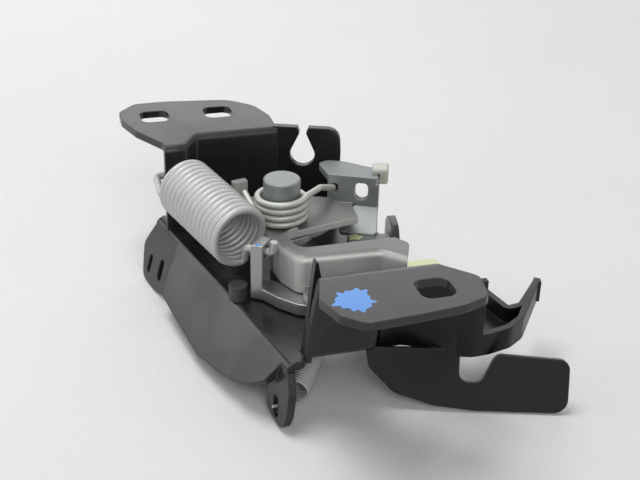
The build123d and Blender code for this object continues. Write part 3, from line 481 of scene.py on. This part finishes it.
# %% Make the world
WALL_LIGHT = 0.24
WALL_SEEN = 0.86
world = bpy.data.worlds.new("pale walls")
bpy.context.scene.world = world
world.use_nodes = True
sky = world.node_tree
lit = sky.nodes["Background"]
lit.inputs["Color"].default_value = grey(1.0)
lit.inputs["Strength"].default_value = WALL_LIGHT
seen = node_in(sky, "ShaderNodeBackground", Color=grey(WALL_SEEN))
rays = sky.nodes.new("ShaderNodeLightPath")
shown = maths_in(sky, "MAXIMUM")
pick = sky.nodes.new("ShaderNodeMixShader")
link_all(
    sky,
    (rays.outputs["Is Camera Ray"], shown.inputs[0]),
    (rays.outputs["Is Glossy Ray"], shown.inputs[1]),
    (shown.outputs[0], pick.inputs[0]),
    (lit.outputs[0], pick.inputs[1]),
    (seen.outputs[0], pick.inputs[2]),
    (pick.outputs[0], sky.nodes["World Output"].inputs["Surface"]),
)
print("world light", WALL_LIGHT)

# %% [markdown]
# The lamps
# The shadows in the photograph are soft and lie to the front, so the main light is large and
# overhead, a little behind and to the left. Three more square lamps stand in for bright walls on
# the left, behind and in front. A large lamp close by gives a softer shadow than a small one.

# %% Hang the lamps
LAMP_AIM = Vector((0, 0, -0.02))


def softbox(name, place, size, power):
    """A square area lamp that looks at the latch."""
    lamp = bpy.data.lights.new(name, "AREA")
    lamp.shape = "SQUARE"
    lamp.size = size
    lamp.energy = power
    body = bpy.data.objects.new(name, lamp)
    body.location = place
    body.rotation_euler = (LAMP_AIM - Vector(place)).to_track_quat("-Z", "Y").to_euler()
    bpy.context.scene.collection.objects.link(body)


softbox("overhead softbox", (-0.20, 0.20, 0.95), size=0.5, power=5.0)
softbox("left softbox", (-0.75, 0.62, 0.40), size=0.6, power=2.3)
softbox("back softbox", (0.28, 0.90, 0.52), size=0.9, power=3.2)
softbox("front fill", (-0.10, -0.85, 0.62), size=0.5, power=2.8)
print("lamps", [lamp.name for lamp in bpy.data.lights])

# %% [markdown]
# The springs
# There is a fat extension spring for the claw, a torsion spring round the main pin, and a fine
# extension spring for the catch. Each is wound at a steady pitch. A coil follows a rule, so one
# Geometry Nodes tree winds all three from a radius, a wire, a pitch and a number of turns.

# %% Tree: a wound wire
WIRE_SIDES = 14
winding = bpy.data.node_groups.new("Wound wire", "GeometryNodeTree")
for label, kind, value in (
    ("Radius", "Float", 0.005),
    ("Wire", "Float", 0.001),
    ("Pitch", "Float", 0.002),
    ("Turns", "Float", 10.0),
    ("Steps per turn", "Int", 40),
    ("Finish", "Material", None),
):
    socket = winding.interface.new_socket(label, in_out="INPUT", socket_type="NodeSocket" + kind)
    if value is not None:
        socket.default_value = value
winding.interface.new_socket("Geometry", in_out="OUTPUT", socket_type="NodeSocketGeometry")
given = winding.nodes.new("NodeGroupInput")
spiral = winding.nodes.new("GeometryNodeCurveSpiral")
spiral.inputs["Reverse"].default_value = True
rise = maths_in(winding, "MULTIPLY")
half_wire = maths_in(winding, "MULTIPLY", 0.5)
round_section = node_in(winding, "GeometryNodeCurvePrimitiveCircle", Resolution=WIRE_SIDES)
tube = node_in(winding, "GeometryNodeCurveToMesh", Fill_Caps=True)
smooth = winding.nodes.new("GeometryNodeSetShadeSmooth")
realize = winding.nodes.new("GeometryNodeRealizeInstances")
coat = winding.nodes.new("GeometryNodeSetMaterial")
wound = winding.nodes.new("NodeGroupOutput")
link_all(
    winding,
    (given.outputs["Radius"], spiral.inputs["Start Radius"]),
    (given.outputs["Radius"], spiral.inputs["End Radius"]),
    (given.outputs["Turns"], spiral.inputs["Rotations"]),
    (given.outputs["Steps per turn"], spiral.inputs["Resolution"]),
    (given.outputs["Pitch"], rise.inputs[0]),
    (given.outputs["Turns"], rise.inputs[1]),
    (rise.outputs[0], spiral.inputs["Height"]),
    (given.outputs["Wire"], half_wire.inputs[0]),
    (half_wire.outputs[0], round_section.inputs["Radius"]),
    (spiral.outputs["Curve"], tube.inputs["Curve"]),
    (round_section.outputs["Curve"], tube.inputs["Profile Curve"]),
    (tube.outputs["Mesh"], smooth.inputs["Geometry"]),
    (smooth.outputs["Geometry"], realize.inputs["Geometry"]),
    (realize.outputs["Geometry"], coat.inputs["Geometry"]),
    (given.outputs["Finish"], coat.inputs["Material"]),
    (coat.outputs["Geometry"], wound.inputs["Geometry"]),
)
print("made tree", winding.name)

# %% [markdown]
# From a tree to a piece
# A piece for the export has to be a plain mesh, so the tree runs once on a helper object, its
# result is kept, and the helper goes. A piece either rides on one body of the latch, or, as a
# spring does whose far end is pulled away, is left without a body.

# %% Helpers for pieces
def made_by(tree, name, values):
    """The plain mesh that a Geometry Nodes tree gives for these inputs."""
    holder = bpy.data.objects.new(name + "_maker", bpy.data.meshes.new(name + "_maker"))
    bpy.context.scene.collection.objects.link(holder)
    modifier = holder.modifiers.new("maker", "NODES")
    modifier.node_group = tree
    for socket in tree.interface.items_tree:
        if socket.in_out == "INPUT" and socket.name in values:
            modifier[socket.identifier] = values[socket.name]
    evaluated = holder.evaluated_get(bpy.context.evaluated_depsgraph_get())
    mesh = bpy.data.meshes.new_from_object(evaluated)
    mesh.name = name
    bpy.data.objects.remove(holder)
    return mesh


def add_piece(name, mesh, body, *stands_for, bends=None):
    """A piece that rides on a body, or has no body when bends is given; it may stand for CAD nodes.
    """
    piece = bpy.data.objects.new(name, mesh)
    bpy.context.scene.collection.objects.link(piece)
    if bends:
        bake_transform(piece)
    else:
        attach(piece, body)
    if stands_for:
        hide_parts(*stands_for)
    return piece


# %% [markdown]
# Wind the springs
# The tree winds its coil upwards from the origin. Each coil is then turned and moved onto its own
# axis, with the sizes of the CAD coil that it stands for. The two extension springs, which a moving
# part pulls, are left without a body, and the torsion spring stays on its pin.

# %% Wind each spring on its axis
STEPS_PER_TURN = 40
MAIN_PIN = (-4.5, 15.5)
TORSION_FOOT = -13.0
TORSION_PITCH = 2.25
TORSION_TURNS = 3.41
TORSION_TOP = TORSION_FOOT + TORSION_PITCH * TORSION_TURNS
TORSION_ENDS = ((*MAIN_PIN, TORSION_FOOT), (*MAIN_PIN, TORSION_TOP))
CLAW_SPRING_ENDS = ((-31.0, 36.8, -9.8), (-20.3, 3.4, -12.4))
CATCH_SPRING_ENDS = ((-13.30, -33.76, -43.88), (-3.98, -19.11, -40.51))


def spring(node, ends, radius, wire, turns, start_degrees, material, pulled_by=None):
    """A spring body from one end of its axis to the other; sizes in millimetres."""
    first, last = Vector(ends[0]) * MM, Vector(ends[1]) * MM
    run = last - first
    mesh = made_by(
        winding,
        node + "_wire",
        {
            "Radius": radius * MM,
            "Wire": wire * MM,
            "Pitch": run.length / turns,
            "Turns": float(turns),
            "Steps per turn": STEPS_PER_TURN,
            "Finish": material,
        },
    )
    up = run.normalized()
    side = Vector((-run.y, run.x, 0)).normalized() if run.xy.length > 0 else Vector((1, 0, 0))
    axes = Matrix((side, up.cross(side), up)).transposed().to_4x4()
    start = Matrix.Rotation(math.radians(start_degrees), 4, "Z")
    mesh.transform(Matrix.Translation(first) @ axes @ start)
    bends = (pulled_by, *ends) if pulled_by else None
    piece = add_piece(node + "_wire", mesh, "frame", node, bends=bends)
    cad_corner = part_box(node)[0]
    spots = [vertex.co for vertex in mesh.vertices]
    gap = max(abs(min(spot[i] for spot in spots) - cad_corner[i]) for i in range(3))
    print(node, len(mesh.polygons), "faces; differs from the CAD box by", round(gap / MM, 2), "mm")


spring(
    "claw_spring", CLAW_SPRING_ENDS, radius=8.6, wire=2.3, turns=15, start_degrees=-90,
    material=spring_zinc, pulled_by="claw",
)
spring(
    "catch_spring", CATCH_SPRING_ENDS, radius=4.0, wire=0.8, turns=18.5, start_degrees=-90,
    material=spring_zinc, pulled_by="catch",
)
spring(
    "lever_spring", TORSION_ENDS, radius=7.6, wire=2.0, turns=TORSION_TURNS, start_degrees=173,
    material=torsion_zinc,
)

# %% [markdown]
# Hooks and legs
# The wire ends keep the forms they have in the CAD source, where each is bent to reach its anchor.
# An end that is held by the frame stays a CAD node. An end that is hooked in a moving part is
# copied and its loose triangles are merged. The hooks go along with the claw and the catch, and
# the torsion spring's leg on the lever is left without a body.

# %% Copy the wire ends that move
MERGE_DISTANCE = 0.000002
WIRE_CREASE = math.radians(50)
LEVER_LEG_RUN = ((2.6, 20.4, -4.6), (14.6, 27.9, -10.2))


def moving_end(node, body, material, bends=None):
    """A merged copy of a CAD wire end that goes along with a body, or has none when bends is given.
    """
    mesh = nodes[node].data.copy()
    mesh.name = node + "_wire"
    shape = bmesh.new()
    shape.from_mesh(mesh)
    bmesh.ops.remove_doubles(shape, verts=shape.verts, dist=MERGE_DISTANCE)
    for face in shape.faces:
        face.smooth = True
    for edge in shape.edges:
        edge.smooth = edge.calc_face_angle(0) < WIRE_CREASE
    shape.to_mesh(mesh)
    shape.free()
    mesh.materials.clear()
    mesh.materials.append(material)
    piece = add_piece(node + "_wire", mesh, body, node, bends=bends)
    print(node, "now goes along with", bends[0] if bends else body)


moving_end("claw_spring_near_hook", "claw", spring_zinc)
moving_end("catch_spring_catch_hook", "catch", spring_zinc)
moving_end("lever_spring_lever_leg", "frame", torsion_zinc, bends=("lever", *LEVER_LEG_RUN))

# %% [markdown]
# Put the finishes on
# The spring nodes join the list here. Those that a wire piece stands for aren't seen any more, and
# the wire ends that stay take the finish of their spring. Each node then gets its finish as its
# one material, in place of the plain colour it came with.

# %% Put each finish on its node
for name in nodes:
    if name.startswith("lever_spring"):
        finishes[name] = torsion_zinc
    elif "spring" in name:
        finishes[name] = spring_zinc
for name in finishes:
    mesh = nodes[name].data
    mesh.materials.clear()
    mesh.materials.append(finishes[name])
print("dressed", len(finishes), "nodes")

# %% [markdown]
# Smooth where it is round
# A solid arrives as loose flat triangles. One small tree joins them, shades the round faces
# smooth, and keeps an edge sharp where two faces meet at more than 32 degrees. It is a live
# modifier, so the mesh itself stays as it came.

# %% Tree: join and smooth
SOLID_CREASE = math.radians(32)
joining = bpy.data.node_groups.new("Join and smooth", "GeometryNodeTree")
joining.interface.new_socket("Geometry", in_out="INPUT", socket_type="NodeSocketGeometry")
sharpest = joining.interface.new_socket("Sharp angle", in_out="INPUT", socket_type="NodeSocketFloat")
sharpest.default_value = SOLID_CREASE
joining.interface.new_socket("Geometry", in_out="OUTPUT", socket_type="NodeSocketGeometry")
loose = joining.nodes.new("NodeGroupInput")
joined = joining.nodes.new("NodeGroupOutput")
merge = node_in(joining, "GeometryNodeMergeByDistance", Distance=MERGE_DISTANCE)
all_smooth = joining.nodes.new("GeometryNodeSetShadeSmooth")
angle = joining.nodes.new("GeometryNodeInputMeshEdgeAngle")
sharp = joining.nodes.new("FunctionNodeCompare")
creased = joining.nodes.new("GeometryNodeSetShadeSmooth")
creased.domain = "EDGE"
creased.inputs["Shade Smooth"].default_value = False
link_all(
    joining,
    (loose.outputs["Geometry"], merge.inputs["Geometry"]),
    (merge.outputs["Geometry"], all_smooth.inputs["Geometry"]),
    (all_smooth.outputs["Geometry"], creased.inputs["Geometry"]),
    (angle.outputs["Unsigned Angle"], sharp.inputs["A"]),
    (loose.outputs["Sharp angle"], sharp.inputs["B"]),
    (sharp.outputs["Result"], creased.inputs["Selection"]),
    (creased.outputs["Geometry"], joined.inputs["Geometry"]),
)
for name in finishes:
    nodes[name].modifiers.new("join and smooth", "NODES").node_group = joining
print("smoothed", len(finishes), "nodes")

# %% [markdown]
# Paint marks and grease
# Blue paint marks the near flange and the claw's tab, as is done when a latch has been checked, and
# there is yellow grease on the lever's nose, where it rubs on the claw. A dab is a thin domed
# puddle: rings of points at an uneven radius, raised a tenth of a millimetre or more in the middle.
# A mesh is chosen over a mask in the material, because its edge catches the light.

# %% The form of a dab
DAB_RINGS = 6
DAB_SPOKES = 120
DAB_MIDDLE = 0.84
SPIKE_REACH = 0.17
SPIKE_CHANGE = 0.13
SPIKE_WAVES = 5
SPIKE_SHARPNESS = 2.2
RIM_CHANGE = 0.08
RIM_WAVES = 3
RIM_SEED_SHARE = 2.3
DOME_POWER = 4
RIM_LIFT = 0.01


def rim_reach(way, seed, lobes):
    """How far the rim stands out from the dab's middle at one bearing, in half widths."""
    spike = abs(math.sin(lobes * way / 2 + seed)) ** SPIKE_SHARPNESS
    reach = SPIKE_REACH + SPIKE_CHANGE * math.sin(SPIKE_WAVES * way + seed)
    return reach * spike + RIM_CHANGE * math.sin(RIM_WAVES * way + RIM_SEED_SHARE * seed)


def dab(name, body, centre, half_widths, lean_degrees, material, height=0.12, seed=0.0, lobes=12):
    """A thin puddle of paint or grease on a level face; sizes in millimetres."""
    lean = math.radians(lean_degrees)
    points = [(centre[0] * MM, centre[1] * MM, (centre[2] + height) * MM)]
    for ring in range(1, DAB_RINGS + 1):
        share = ring / DAB_RINGS
        lift = height * (1 - share ** DOME_POWER) + RIM_LIFT
        for spoke in range(DAB_SPOKES):
            way = 2 * math.pi * spoke / DAB_SPOKES
            reach = share * (DAB_MIDDLE + rim_reach(way, seed, lobes) * share)
            x = half_widths[0] * reach * math.cos(way)
            y = half_widths[1] * reach * math.sin(way)
            points.append(
                (
                    (centre[0] + x * math.cos(lean) - y * math.sin(lean)) * MM,
                    (centre[1] + x * math.sin(lean) + y * math.cos(lean)) * MM,
                    (centre[2] + lift) * MM,
                )
            )
    faces = [(0, 1 + spoke, 1 + (spoke + 1) % DAB_SPOKES) for spoke in range(DAB_SPOKES)]
    for ring in range(DAB_RINGS - 1):
        for spoke in range(DAB_SPOKES):
            here = 1 + ring * DAB_SPOKES + spoke
            beside = 1 + ring * DAB_SPOKES + (spoke + 1) % DAB_SPOKES
            faces.append((here, here + DAB_SPOKES, beside + DAB_SPOKES, beside))
    mesh = bpy.data.meshes.new(name)
    mesh.from_pydata(points, [], faces)
    for face in mesh.polygons:
        face.use_smooth = True
    mesh.materials.append(material)
    add_piece(name, mesh, body)
    print(name, len(faces), "faces on", body)


# %% [markdown]
# Lay the dabs
# Paint from a brush or a marker pulls out into points at its rim, so the blue dabs have many
# lobes. Grease is thicker and rounder, and has few.

# %% Make the paint and the grease, and lay them
blue_paint = finish(
    "blue marking paint", (0.085, 0.27, 0.70, 1), (0.13, 0.35, 0.82, 1), (0.2, 0.45, 0.9, 1),
    metallic=0.0, rough=(0.35, 0.5), edge=0.0002, wear=0.2, cloud=400.0, bump=0.3,
)
grease = finish(
    "yellow grease", (0.50, 0.56, 0.22, 1), (0.66, 0.70, 0.38, 1), (0.8, 0.82, 0.6, 1),
    metallic=0.0, rough=(0.25, 0.4), edge=0.0002, wear=0.2, cloud=500.0, bump=0.3,
)
dab("paint_dab_on_flange", "frame", (-5.0, -59.1, 0.0), (5.3, 5.7), -20, blue_paint, seed=1.7)
dab("paint_dot_on_claw_tab", "claw", (-17.0, -5.0, -11.0), (1.0, 0.8), 0, blue_paint, seed=0.4)
dab(
    "grease_on_lever_nose", "lever", (19.9, 15.0, -23.2), (2.3, 1.9), -15, grease,
    height=0.3, seed=0.9, lobes=5,
)
